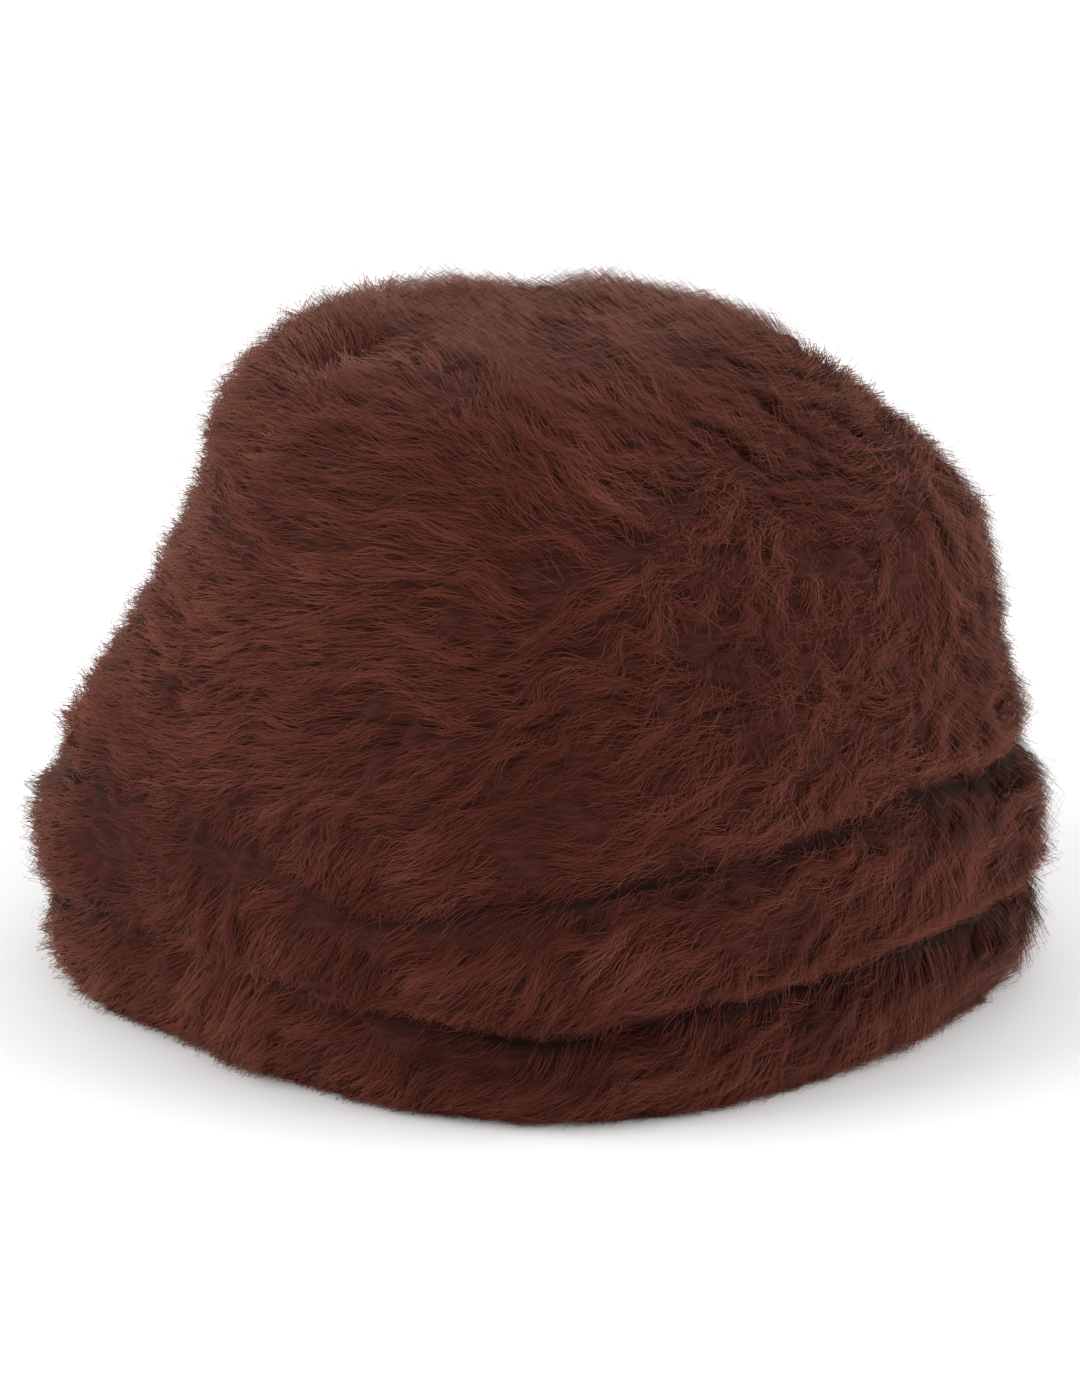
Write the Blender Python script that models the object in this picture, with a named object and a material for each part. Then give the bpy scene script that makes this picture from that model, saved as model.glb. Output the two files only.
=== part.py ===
"""A soft faux fur bucket hat, resting on its brim: a tip, a side band and a brim stitched in three rows.

Metres, +Z up, +Y away from the front. The origin is on the surface that the hat rests on, in the middle of
the outline. Each panel is one solid: a backing with the fur on it, combed into locks.
"""

import math
import random

import bpy
from mathutils import Vector

# Driving sizes
HEAD_WIDTH = 0.184  # hollow from side to side, at the seam of the brim
HEAD_DEPTH = 0.186  # hollow from front to back, at the seam of the brim
BRIM_DROP = 0.086  # height of the brim's seam above the rim
BRIM_SPREAD = 0.020  # how far the inside of the rim stands out past the hollow, all round
CROWN_RISE = 0.062  # height of the inside of the crown above the brim's seam
BACKING = 0.002  # woven backing of the fur
PILE = 0.0085  # fur over the backing, combed down
STITCH_PILE = 0.0040  # fur left over the backing where stitching presses it down
LOCK_HEIGHT = 0.0042  # how far a lock's tip lifts off the fur beneath
LOCK_WIDTH = 0.0120  # across a lock
LOCK_STEP = 0.0052  # between the rings of points that shape a lock
SEAM_GAP = 0.0003  # clearance between neighbouring panels

# The skin side of the brim, from the rim to the seam. rise and roll are shares of BRIM_DROP, roll being how
# much lower the right side is than the middle. left to back are shares of BRIM_SPREAD, out from the hollow
# at that side, and corner is how far the section is drawn in between them, as a share of its radius.
BRIM_SECTIONS = [
    # rise, roll, left, right, front, back, corner
    (0.00, 0.00, 0.93, 0.35, 0.60, 0.70, 0.075),
    (0.20, 0.00, 1.08, 0.55, 0.74, 0.85, 0.065),
    (0.42, -0.01, 1.12, 0.58, 0.80, 0.90, 0.050),
    (0.64, -0.03, 0.86, 0.38, 0.62, 0.72, 0.035),
    (0.82, -0.05, 0.30, 0.14, 0.28, 0.34, 0.020),
    (1.00, -0.06, 0.00, 0.00, 0.00, 0.00, 0.010),
]

BACK_CORNERS = 0.4  # how far the corners at the back are drawn in, as a share of those at the front

# The skin side of the crown, from the seam to the middle of the top. rise and roll are shares of
# CROWN_RISE. left and right are shares of half of HEAD_WIDTH, front and back of half of HEAD_DEPTH.
CROWN_SECTIONS = [
    # rise, roll, left, right, front, back, corner
    (0.00, -0.08, 1.00, 1.00, 1.00, 1.00, 0.010),
    (0.18, -0.04, 0.91, 0.98, 0.97, 0.97, 0.000),
    (0.37, 0.02, 0.86, 0.96, 0.95, 0.95, 0.000),
    (0.56, 0.09, 0.80, 0.89, 0.89, 0.89, 0.000),
    (0.75, 0.12, 0.71, 0.76, 0.78, 0.78, 0.000),
    (0.90, 0.06, 0.51, 0.61, 0.59, 0.60, 0.000),
    (0.98, -0.01, 0.24, 0.41, 0.33, 0.36, 0.000),
    (1.00, 0.00, 0.00, 0.00, 0.00, 0.00, 0.000),
]
TIP_SECTION = 4  # the row of CROWN_SECTIONS where the side band meets the tip

# The brim's two stitch lines, which wander as the soft brim slumps. turn is degrees round from the right
# towards the back, and the others are shares of the way from the rim to the seam.
STITCH_LINES = [
    # turn, lower line, upper line
    (0.0, 0.27, 0.56),
    (45.0, 0.28, 0.60),
    (90.0, 0.26, 0.58),
    (135.0, 0.28, 0.60),
    (180.0, 0.22, 0.56),
    (210.0, 0.32, 0.65),
    (232.0, 0.33, 0.63),
    (250.0, 0.28, 0.51),
    (268.0, 0.24, 0.58),
    (288.0, 0.30, 0.63),
    (322.0, 0.31, 0.67),
    (346.0, 0.29, 0.61),
]
ROW_STEPS = [5, 6, 6]  # rings of points in each row of the brim, rim row first

# Dents in the soft shape. turn is degrees round from the right towards the back, way is a share from the rim
# to the top, reach and depth are shares of CROWN_RISE.
DENT_PLACES = [
    # turn, way, reach, depth
    (198.0, 0.74, 0.16, 0.12),
    (222.0, 0.03, 0.50, 0.05),
    (300.0, 0.62, 0.40, 0.05),
    (180.0, 0.55, 0.45, 0.05),
    (35.0, 0.72, 0.45, 0.06),
    (100.0, 0.70, 0.40, 0.05),
]

# Fur
RIM_PILE = 0.0045  # fur over the backing at the rim, where it tucks under
SEAM_PILE = 0.0068  # fur over the backing at the seams, where it parts
SEAM_REACH = 0.0080  # how far from a seam the fur parts
TOP_REACH = 0.0400  # how far from the middle of the top the locks are flatter
LOCK_ROWS = 4  # rings of points along a lock
BRIM_LEAN = 0.85  # how far the locks of the brim lean round, for each metre down
SIDE_LEAN = 1.30  # the same on the side band
TIP_LEAN = 0.90  # the same on the tip, outwards from its middle
SKIN_STEP = 0.018  # between the rings of points on the skin side
LOCK_SPREAD = 0.35  # how much the locks differ in height
LOCK_EDGE = 0.2  # height of a lock's edge, as a share of its ridge
ROW_COMB = 0.7  # below 1, the fur of a brim row is thickest low down
SKIN_ROWS = [3.0, 2.5, 2.0, 1.5, 1.0, 0.5, 0.0]  # rings on the skin side of the brim, in rows from the rim
SEED = 7

FULL_TURN = 2 * math.pi
FUR_COLOUR = (0.090, 0.027, 0.018, 1.0)
FUR_ROUGHNESS = 0.9
NEAR = 1e-4  # step for the slope of the skin, in radians and metres


def sections():
    """The skin side from the rim to the middle of the top, as (height, roll, left, right, front, back,
    corner)."""
    half_width, half_depth = HEAD_WIDTH / 2, HEAD_DEPTH / 2
    rows = []
    for rise, roll, left, right, front, back, corner in BRIM_SECTIONS[:-1]:
        sides = [half_width + left * BRIM_SPREAD, half_width + right * BRIM_SPREAD]
        ends = [half_depth + front * BRIM_SPREAD, half_depth + back * BRIM_SPREAD]
        rows.append((rise * BRIM_DROP, roll * BRIM_DROP, *sides, *ends, corner))
    for rise, roll, left, right, front, back, corner in CROWN_SECTIONS:
        sides = [left * half_width, right * half_width]
        ends = [front * half_depth, back * half_depth]
        rows.append((BRIM_DROP + rise * CROWN_RISE, roll * CROWN_RISE, *sides, *ends, corner))
    return rows


def stations_of(rows):
    """How far each section is from the rim, measured up the skin and across the top."""
    found = [0.0]
    for low, high in zip(rows, rows[1:]):
        out = (sum(high[2:6]) - sum(low[2:6])) / 4
        found.append(found[-1] + math.hypot(out, high[0] - low[0]))
    return found


ROWS = sections()
STATIONS = stations_of(ROWS)
SEAM_AT = STATIONS[len(BRIM_SECTIONS) - 1]
TIP_AT = STATIONS[len(BRIM_SECTIONS) - 1 + TIP_SECTION]
TOP_AT = STATIONS[-1]


def section_at(station):
    """The section at a station, on smooth curves through the rows of the tables."""
    last = len(ROWS) - 1
    k = max(i for i in range(last) if STATIONS[i] <= station or i == 0)
    beyond = [ROWS[-2][0], ROWS[-2][1]] + [-v for v in ROWS[-2][2:]]
    before = [2 * a - b for a, b in zip(ROWS[0], ROWS[1])]
    points = [ROWS[k - 1] if k else before, ROWS[k], ROWS[k + 1], ROWS[k + 2] if k < last - 1 else beyond]
    first_gap, end_gap = STATIONS[1] - STATIONS[0], STATIONS[-1] - STATIONS[-2]
    at = [
        STATIONS[k - 1] if k else STATIONS[0] - first_gap,
        STATIONS[k],
        STATIONS[k + 1],
        STATIONS[k + 2] if k < last - 1 else STATIONS[-1] + end_gap,
    ]
    span = at[2] - at[1]
    t = (station - at[1]) / span
    found = []
    for a, b, c, d in zip(*points):
        slope_b = (c - a) / (at[2] - at[0]) * span
        slope_c = (d - b) / (at[3] - at[1]) * span
        found.append(
            (2 * t**3 - 3 * t**2 + 1) * b
            + (t**3 - 2 * t**2 + t) * slope_b
            + (3 * t**2 - 2 * t**3) * c
            + (t**3 - t**2) * slope_c
        )
    return found


def smooth_skin(turn, station):
    """A point of the skin side before it is dented."""
    height, roll, left, right, front, back, corner = section_at(station)
    across, along = math.cos(turn), math.sin(turn)
    drawn = 1 - corner * math.sin(2 * turn) ** 2 * (BACK_CORNERS if along > 0 else 1)
    x = across * drawn * (right if across > 0 else left)
    y = along * drawn * (back if along > 0 else front)
    return Vector((x, y, height - roll * across))


def outward(surface, turn, station):
    """The direction out of a surface at a point of it."""
    round_it = surface(turn + NEAR, station) - surface(turn - NEAR, station)
    up_it = surface(turn, station + NEAR) - surface(turn, station - NEAR)
    return round_it.cross(up_it).normalized()


def dents():
    """The dents as (middle, inward direction, reach, depth)."""
    found = []
    for turn, way, reach, depth in DENT_PLACES:
        place = math.radians(turn), way * TOP_AT
        inward = -outward(smooth_skin, *place)
        found.append((smooth_skin(*place), inward, reach * CROWN_RISE, depth * CROWN_RISE))
    return found


DENTS = dents()


def skin(turn, station):
    """A point of the skin side of the hat."""
    point = smooth_skin(turn, station)
    for middle, inward, reach, depth in DENTS:
        away = (point - middle).length / reach
        point = point + inward * (depth * math.exp(-away * away))
    return point


def stitch_shares(turn):
    """Where the rim, the stitch lines and the seam are at a turn, as shares of the way to the seam."""
    degrees = math.degrees(turn) % 360
    k = max(i for i, row in enumerate(STITCH_LINES) if row[0] <= degrees)
    low, high = STITCH_LINES[k], STITCH_LINES[(k + 1) % len(STITCH_LINES)]
    t = (degrees - low[0]) / ((high[0] - low[0]) % 360)
    ease = t * t * (3 - 2 * t)
    return [0.0] + [a + (b - a) * ease for a, b in zip(low[1:], high[1:])] + [1.0]


def brim_station(turn, row):
    """The station of a row of the brim. Rows count from the rim up: 1.5 is half way up the second."""
    shares = stitch_shares(turn)
    k = min(int(row), len(shares) - 2)
    return (shares[k] + (shares[k + 1] - shares[k]) * (row - k)) * (SEAM_AT - SEAM_GAP / 2)


def brim_fur(row):
    """(height of the fur, share of a lock's relief) in the brim: it is combed down over each stitch line."""
    k = min(int(row), len(ROW_STEPS) - 1)
    w = row - k
    swell = math.sin(math.pi * w**ROW_COMB)
    low = STITCH_PILE if k else RIM_PILE
    high = STITCH_PILE if k < len(ROW_STEPS) - 1 else SEAM_PILE
    floor = low + (high - low) * w
    return floor + (PILE - floor) * swell, swell


def crown_fur(station):
    """The same on the crown, where the fur parts only at the seams."""
    away = min(station - SEAM_AT, abs(station - TIP_AT)) / SEAM_REACH
    swell = math.sin(math.pi / 2 * min(1.0, max(0.0, away)))
    return SEAM_PILE + (PILE - SEAM_PILE) * swell, swell


def lock_lift(column, ring):
    """How far up a lock's slope a point is: a lock is two columns wide, with a ridge along it."""
    rng = random.Random(SEED + column // 2)
    start = rng.randrange(LOCK_ROWS)
    along = (ring + start) % LOCK_ROWS / (LOCK_ROWS - 1)
    rng.seed(SEED + column // 2 * 97 + (ring + start) // LOCK_ROWS)
    size = 1 - LOCK_SPREAD * rng.random()
    return size * along * (1.0 if column % 2 else LOCK_EDGE)


def evenly(low, high, step):
    """Stations from low to high, about a step apart."""
    count = max(2, round((high - low) / step))
    return [low + (high - low) * i / count for i in range(count + 1)]


def fur_point(turn, station, height):
    """A point at a height over the skin side."""
    return skin(turn, station) + outward(skin, turn, station) * height


def columns_for(station):
    """An even number of columns, two for each lock that fits round the hat there."""
    radius = sum(section_at(station)[2:6]) / 4
    return 2 * round(FULL_TURN * radius / LOCK_WIDTH)


def add_object(name, rings, closed):
    """An object skinned through rings of points. A closed list of rings joins its last to its first, and
    otherwise a single point ends it at both ends."""
    mesh = bpy.data.meshes.new(name)
    points = [point for ring in rings for point in ring]
    starts = [sum(len(r) for r in rings[:i]) for i in range(len(rings))]
    faces = []
    pairs = list(zip(range(len(rings)), range(1, len(rings))))
    if closed:
        pairs.append((len(rings) - 1, 0))
    for low, high in pairs:
        count = max(len(rings[low]), len(rings[high]))
        for i in range(count):
            j = (i + 1) % count
            a, b = starts[low] + i, starts[low] + j
            c, d = starts[high] + j, starts[high] + i
            if len(rings[low]) == 1:
                faces.append((starts[low], c, d))
            elif len(rings[high]) == 1:
                faces.append((a, b, starts[high]))
            else:
                faces.append((a, b, c, d))
    mesh.from_pydata(points, [], faces)
    mesh.validate()
    item = bpy.data.objects.new(name, mesh)
    bpy.context.scene.collection.objects.link(item)
    return item


def fur_material():
    material = bpy.data.materials.new("brown_faux_fur")
    material.use_nodes = True
    shader = material.node_tree.nodes["Principled BSDF"]
    shader.inputs["Base Color"].default_value = FUR_COLOUR
    shader.inputs["Roughness"].default_value = FUR_ROUGHNESS
    shader.inputs["Metallic"].default_value = 0.0
    return material


def turns_of(columns, lean):
    return [FULL_TURN * column / columns + lean for column in range(columns)]


def brim_panel(name):
    """The brim, from the rim up to the seam with the crown, its fur stitched down along two lines."""
    columns = columns_for(SEAM_AT / 2)
    whole = sum(ROW_STEPS)
    rows = [k + i / steps for k, steps in enumerate(ROW_STEPS) for i in range(steps)] + [len(ROW_STEPS)]
    lean = BRIM_LEAN * SEAM_AT / HEAD_WIDTH
    rings = []
    for ring, row in zip(range(whole, -1, -1), rows):
        height, lift = brim_fur(row)
        points = []
        for column, turn in enumerate(turns_of(columns, lean * row / len(ROW_STEPS))):
            over = BACKING + height + lift * LOCK_HEIGHT * lock_lift(column, ring)
            points.append(fur_point(turn, brim_station(turn, row), over))
        rings.append(points)
    for row in SKIN_ROWS:
        turns = turns_of(columns, lean * row / len(ROW_STEPS))
        rings.append([skin(turn, brim_station(turn, row)) for turn in turns])
    for point in rings[0] + rings[-1]:
        point.z = 0.0
    return add_object(name, rings, closed=True)


def crown_rings(columns, stations, lean):
    """Rings of points on the outside of the crown's fur, leaning round as they go up."""
    rings = []
    for ring, station in zip(range(len(stations) - 1, -1, -1), stations):
        height, lift = crown_fur(station)
        lift *= min(1.0, (TOP_AT - station) / TOP_REACH)
        points = []
        for column, turn in enumerate(turns_of(columns, lean * (station - stations[0]))):
            over = BACKING + height + lift * LOCK_HEIGHT * lock_lift(column, ring)
            points.append(fur_point(turn, station, over))
        rings.append(points)
    return rings


def side_panel(name):
    """The side band of the crown, from its seam with the brim up to its seam with the tip."""
    low, high = SEAM_AT + SEAM_GAP / 2, TIP_AT - SEAM_GAP / 2
    columns = columns_for((low + high) / 2)
    lean = SIDE_LEAN / HEAD_WIDTH
    rings = crown_rings(columns, evenly(low, high, LOCK_STEP), lean)
    for station in reversed(evenly(low, high, SKIN_STEP)):
        rings.append([skin(turn, station) for turn in turns_of(columns, lean * (station - low))])
    return add_object(name, rings, closed=True)


def tip_panel(name):
    """The tip, which closes the crown from its seam to the middle of the top."""
    low = TIP_AT + SEAM_GAP / 2
    columns = columns_for((low + TOP_AT) / 2)
    lean = TIP_LEAN / (TOP_AT - low)
    rings = crown_rings(columns, evenly(low, TOP_AT, LOCK_STEP)[:-1], lean)
    under = []
    for station in evenly(low, TOP_AT, SKIN_STEP)[:-1]:
        under.append([skin(turn, station) for turn in turns_of(columns, lean * (station - low))])
    middle = skin(0.0, TOP_AT)
    over = middle + Vector((0, 0, BACKING + PILE))
    return add_object(name, [[middle], *reversed(under), *rings, [over]], closed=False)


def build():
    for item in list(bpy.data.objects):
        bpy.data.objects.remove(item)
    material = fur_material()
    panels = [brim_panel("brim"), side_panel("crown_side"), tip_panel("crown_tip")]
    corners = [v.co for item in panels for v in item.data.vertices]
    low = Vector([min(c[i] for c in corners) for i in range(3)])
    high = Vector([max(c[i] for c in corners) for i in range(3)])
    middle = Vector(((low.x + high.x) / 2, (low.y + high.y) / 2, 0))
    for item in panels:
        for vertex in item.data.vertices:
            vertex.co -= middle
        item.data.materials.append(material)
        item.data.shade_smooth()


build()
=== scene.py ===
"""Looks of the soft brown faux fur bucket hat: the fur, the cloth behind it and the stitching.

Metres, +Z up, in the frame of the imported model. The hat faces -Y.
"""
import math

import bpy
import numpy as np
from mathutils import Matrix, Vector
from mathutils.kdtree import KDTree


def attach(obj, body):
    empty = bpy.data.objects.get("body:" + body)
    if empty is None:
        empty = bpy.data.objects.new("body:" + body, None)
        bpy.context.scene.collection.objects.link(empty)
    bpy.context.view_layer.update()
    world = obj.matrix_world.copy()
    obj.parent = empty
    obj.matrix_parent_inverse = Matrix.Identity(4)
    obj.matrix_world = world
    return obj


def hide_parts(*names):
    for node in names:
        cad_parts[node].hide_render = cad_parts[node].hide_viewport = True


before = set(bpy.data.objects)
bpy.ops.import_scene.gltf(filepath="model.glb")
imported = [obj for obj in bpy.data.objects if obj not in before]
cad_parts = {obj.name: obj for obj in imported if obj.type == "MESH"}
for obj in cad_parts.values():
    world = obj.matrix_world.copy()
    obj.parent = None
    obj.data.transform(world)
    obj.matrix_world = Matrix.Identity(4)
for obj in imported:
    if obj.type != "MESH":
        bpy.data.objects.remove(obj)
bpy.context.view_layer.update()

# The hat's shape, the same sizes and tables as its solids
HEAD_WIDTH, HEAD_DEPTH = 0.184, 0.186
BRIM_DROP, BRIM_SPREAD, CROWN_RISE = 0.086, 0.020, 0.062
BACKING = 0.002
BACK_CORNERS = 0.4
MIDDLE = np.array([0.0049912, -0.0007254, 0.0])  # where the hollow's middle lies in the frame
BRIM_SECTIONS = [
    # rise, roll, left, right, front, back, corner
    (0.00, 0.00, 0.93, 0.35, 0.60, 0.70, 0.075),
    (0.20, 0.00, 1.08, 0.55, 0.74, 0.85, 0.065),
    (0.42, -0.01, 1.12, 0.58, 0.80, 0.90, 0.050),
    (0.64, -0.03, 0.86, 0.38, 0.62, 0.72, 0.035),
    (0.82, -0.05, 0.30, 0.14, 0.28, 0.34, 0.020),
]
CROWN_SECTIONS = [
    # rise, roll, left, right, front, back, corner
    (0.00, -0.08, 1.00, 1.00, 1.00, 1.00, 0.010),
    (0.18, -0.04, 0.91, 0.98, 0.97, 0.97, 0.000),
    (0.37, 0.02, 0.86, 0.96, 0.95, 0.95, 0.000),
    (0.56, 0.09, 0.80, 0.89, 0.89, 0.89, 0.000),
    (0.75, 0.12, 0.71, 0.76, 0.78, 0.78, 0.000),
    (0.90, 0.06, 0.51, 0.61, 0.59, 0.60, 0.000),
    (0.98, -0.01, 0.24, 0.41, 0.33, 0.36, 0.000),
    (1.00, 0.00, 0.00, 0.00, 0.00, 0.00, 0.000),
]
TIP_SECTION = 4  # the crown's section where its side meets its tip
STITCH_LINES = np.array([
    # turn, lower line, upper line
    (0.0, 0.27, 0.56),
    (45.0, 0.28, 0.60),
    (90.0, 0.26, 0.58),
    (135.0, 0.28, 0.60),
    (180.0, 0.22, 0.56),
    (210.0, 0.32, 0.65),
    (232.0, 0.33, 0.63),
    (250.0, 0.28, 0.51),
    (268.0, 0.24, 0.58),
    (288.0, 0.30, 0.63),
    (322.0, 0.31, 0.67),
    (346.0, 0.29, 0.61),
    (360.0, 0.27, 0.56),
])
DENT_PLACES = [
    # turn, way, reach, depth
    (198.0, 0.74, 0.16, 0.12),
    (222.0, 0.03, 0.50, 0.05),
    (300.0, 0.62, 0.40, 0.05),
    (180.0, 0.55, 0.45, 0.05),
    (35.0, 0.72, 0.45, 0.06),
    (100.0, 0.70, 0.40, 0.05),
]

# Fur
PILE = 0.0112  # depth of the combed fur over the backing
STITCH_PILE = 0.0014  # the same in a stitch line
RIM_PILE = 0.0045  # the same at the rim
SEAM_PILE = 0.0100  # the same at the seams
STITCHED_TO = 0.66  # the share of the brim's height that its stitch lines reach
PUCKER_TURN, PUCKER_REACH = 226, 30  # where the brim puckers, in degrees round the hat
PUCKER_EASE = 0.72  # how much less firmly the stitch lines draw the fur in there
SEAM_REACH = 0.0060  # how far from a seam the fur parts
STRANDS = 168000
STRAND_LENGTH = 0.0160
STRAND_WIDTH = 0.00029
WIDEST = 0.115  # no section of the hat is wider than this on average, out from its middle
EDGE_ROOTS = 1.2  # how many more strands grow close under a stitch line
BEND, LOOSE_BEND = 0.0009, 0.0020  # how far a strand's tip bends sideways
WAVE = 0.0005  # how far a strand waves sideways
UNDERFUR = 0.52  # depth of the dense fur between the strands, as a share of the whole
SEGMENTS = 3
LEAST_HEIGHT = 0.0003  # nothing of the hat is lower over the floor
SOFTNESS = 0.75  # how far strands are shaded as the pile as a whole is
LOOSE = 0.26  # share of the strands that lie outside the tufts
TUFT_SHARE, LOCK_SHARE = 13, 110  # strands to a tuft, and to a lock of tufts
# Where the fur parts and lets the dark between the strands show, or swells. The strands there are also
# painted darker in the partings and the dimple as painted shade, and lighter on the swells as painted light
PATCHES = [
    # turn, way, reach, swell
    (240, 0.75, 0.008, -0.50),
    (260, 0.85, 0.008, -0.40),
    (315, 0.90, 0.009, -0.40),
    (315, 0.80, 0.009, -0.40),
    (325, 0.65, 0.010, -0.35),
    (325, 0.50, 0.009, -0.35),
    (215, 0.40, 0.012, -0.40),
    (245, 0.40, 0.010, -0.50),
    (230, 0.25, 0.011, -0.50),
    (210, 0.20, 0.016, -0.55),
    (250, 0.15, 0.009, -0.40),
    (270, 0.35, 0.018, -0.50),
    (300, 0.50, 0.022, -0.25),
    (198, 0.74, 0.012, -0.90),
    (185, 0.65, 0.015, 0.25),
    (230, 0.65, 0.012, 0.25),
    (230, 0.05, 0.020, 0.45),
    (345, 0.30, 0.018, 0.25),
    (350, 0.15, 0.015, 0.25),
    (280, 0.55, 0.012, 0.20),
    (40, 0.40, 0.009, -0.40),
    (75, 0.55, 0.010, -0.35),
    (150, 0.50, 0.010, -0.40),
    (130, 0.70, 0.010, 0.25),
]
TOP_LIE, TOP_SWAY = (-0.94, 0.30, 0.0), (0.0, 0.25, 0.0)  # the way that the fur lies on the top
DIMPLE_TURN, DIMPLE_WAY, DIMPLE_REACH = 198, 0.738, 0.015  # where the fur whirls round the dimple
# How the fur is combed. angle is degrees below the way round the hat that runs to the left at the front,
# and mess is how far the strands stray from it.
COMB = [
    # turn, way, angle, mess
    (180, 0.75, 35, 0.1),
    (220, 0.65, 0, 0.1),
    (265, 0.70, -35, 0.2),
    (320, 0.65, -40, 0.5),
    (235, 0.55, 5, 0.1),
    (300, 0.50, 60, 1.2),
    (330, 0.45, 85, 0.6),
    (230, 0.45, 20, 0.1),
    (285, 0.35, 20, 0.5),
    (205, 0.25, 20, 0.1),
    (235, 0.20, 60, 0.2),
    (270, 0.25, 30, 0.2),
    (315, 0.30, 30, 0.5),
    (270, 0.10, 40, 0.2),
    (325, 0.15, 45, 0.2),
    (0, 0.35, 50, 0.4),
    (70, 0.40, 60, 0.2),
    (140, 0.35, 45, 0.2),
]

rng = np.random.default_rng(11)


def section_rows():
    half_width, half_depth = HEAD_WIDTH / 2, HEAD_DEPTH / 2
    rows = []
    for rise, roll, left, right, front, back, corner in BRIM_SECTIONS:
        sides = [half_width + left * BRIM_SPREAD, half_width + right * BRIM_SPREAD]
        ends = [half_depth + front * BRIM_SPREAD, half_depth + back * BRIM_SPREAD]
        rows.append((rise * BRIM_DROP, roll * BRIM_DROP, *sides, *ends, corner))
    for rise, roll, left, right, front, back, corner in CROWN_SECTIONS:
        sides = [left * half_width, right * half_width]
        ends = [front * half_depth, back * half_depth]
        rows.append((BRIM_DROP + rise * CROWN_RISE, roll * CROWN_RISE, *sides, *ends, corner))
    return np.array(rows)


ROWS = section_rows()
OUT = np.diff(ROWS[:, 2:6].sum(1) / 4)
STATIONS = np.concatenate([[0.0], np.cumsum(np.hypot(OUT, np.diff(ROWS[:, 0])))])
SEAM_AT = STATIONS[len(BRIM_SECTIONS)]
TIP_AT = STATIONS[len(BRIM_SECTIONS) + TIP_SECTION]
TOP_AT = STATIONS[-1]
SLOPES = np.empty_like(ROWS)
SLOPES[1:-1] = (ROWS[2:] - ROWS[:-2]) / (STATIONS[2:] - STATIONS[:-2])[:, None]
SLOPES[0] = (ROWS[1] - ROWS[0]) / (STATIONS[1] - STATIONS[0])
SLOPES[-1] = 0.0
SLOPES[-1, 2:] = -ROWS[-2, 2:] / (STATIONS[-1] - STATIONS[-2])


def section_at(station):
    k = np.clip(np.searchsorted(STATIONS, station, side="right") - 1, 0, len(ROWS) - 2)
    span = STATIONS[k + 1] - STATIONS[k]
    t = ((station - STATIONS[k]) / span)[..., None]
    span = span[..., None]
    return (
        (2 * t**3 - 3 * t**2 + 1) * ROWS[k]
        + (t**3 - 2 * t**2 + t) * SLOPES[k] * span
        + (3 * t**2 - 2 * t**3) * ROWS[k + 1]
        + (t**3 - t**2) * SLOPES[k + 1] * span
    )


def plain_skin(turn, station):
    row = section_at(station)
    across, along = np.cos(turn), np.sin(turn)
    drawn = 1 - row[..., 6] * np.sin(2 * turn) ** 2 * np.where(along > 0, BACK_CORNERS, 1.0)
    x = across * drawn * np.where(across > 0, row[..., 3], row[..., 2])
    y = along * drawn * np.where(along > 0, row[..., 5], row[..., 4])
    return np.stack([x, y, row[..., 0] - row[..., 1] * across], -1)


def plain_normal(turn, station, near=1e-4):
    a = plain_skin(turn + near, station) - plain_skin(turn - near, station)
    b = plain_skin(turn, station + near) - plain_skin(turn, station - near)
    n = np.cross(a, b)
    return n / np.linalg.norm(n, axis=-1, keepdims=True)


DENTS = []
for turn, way, reach, depth in DENT_PLACES:
    place = np.radians([turn]), np.array([way * TOP_AT])
    DENTS.append((plain_skin(*place)[0], -plain_normal(*place)[0], reach * CROWN_RISE, depth * CROWN_RISE))


def skin(turn, station):
    """Points on the skin side of the hat."""
    point = plain_skin(turn, station)
    for middle, inward, reach, depth in DENTS:
        away = ((point - middle) ** 2).sum(-1) / reach**2
        point = point + inward * (depth * np.exp(-away))[..., None]
    return point + MIDDLE


def turn_station(q):
    """Places are kept as flat (x, y) about the top, so that nothing is special at the middle of the top."""
    return np.arctan2(q[..., 1], q[..., 0]), TOP_AT - np.hypot(q[..., 0], q[..., 1])


def flat(turn, station):
    return np.stack([np.cos(turn), np.sin(turn)], -1) * (TOP_AT - station)[..., None]


def skin_frame(q, near=1e-4):
    """(point, x slope, y slope, normal) of the skin at flat places."""
    def at(dx, dy):
        return skin(*turn_station(q + np.array([dx, dy])))

    sx = (at(near, 0) - at(-near, 0)) / (2 * near)
    sy = (at(0, near) - at(0, -near)) / (2 * near)
    n = np.cross(sx, sy)
    n /= np.linalg.norm(n, axis=-1, keepdims=True)
    return at(0, 0), sx, sy, n


def stitch_shares(turn):
    degrees = np.degrees(turn) % 360
    k = np.clip(np.searchsorted(STITCH_LINES[:, 0], degrees, side="right") - 1, 0, len(STITCH_LINES) - 2)
    low, high = STITCH_LINES[k], STITCH_LINES[k + 1]
    t = (degrees - low[..., 0]) / (high[..., 0] - low[..., 0])
    ease = (t * t * (3 - 2 * t))[..., None]
    return (low + (high - low) * ease)[..., 1:]


def brim_row(turn, station):
    """Rows of the brim counted from the rim up: 1 and 2 are the stitch lines, 3 is the seam."""
    lines = stitch_shares(turn)
    way = station / SEAM_AT
    a, b = lines[..., 0], lines[..., 1]
    return np.where(way < a, way / a, np.where(way < b, 1 + (way - a) / (b - a), 2 + (way - b) / (1 - b)))


def brim_station(turn, row):
    lines = stitch_shares(turn)
    a, b = lines[..., 0], lines[..., 1]
    k = np.minimum(np.floor(row), 2)
    w = row - k
    low = np.where(k == 0, 0.0, np.where(k == 1, a, b))
    high = np.where(k == 0, a, np.where(k == 1, b, 1.0))
    return (low + (high - low) * w) * SEAM_AT


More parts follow.
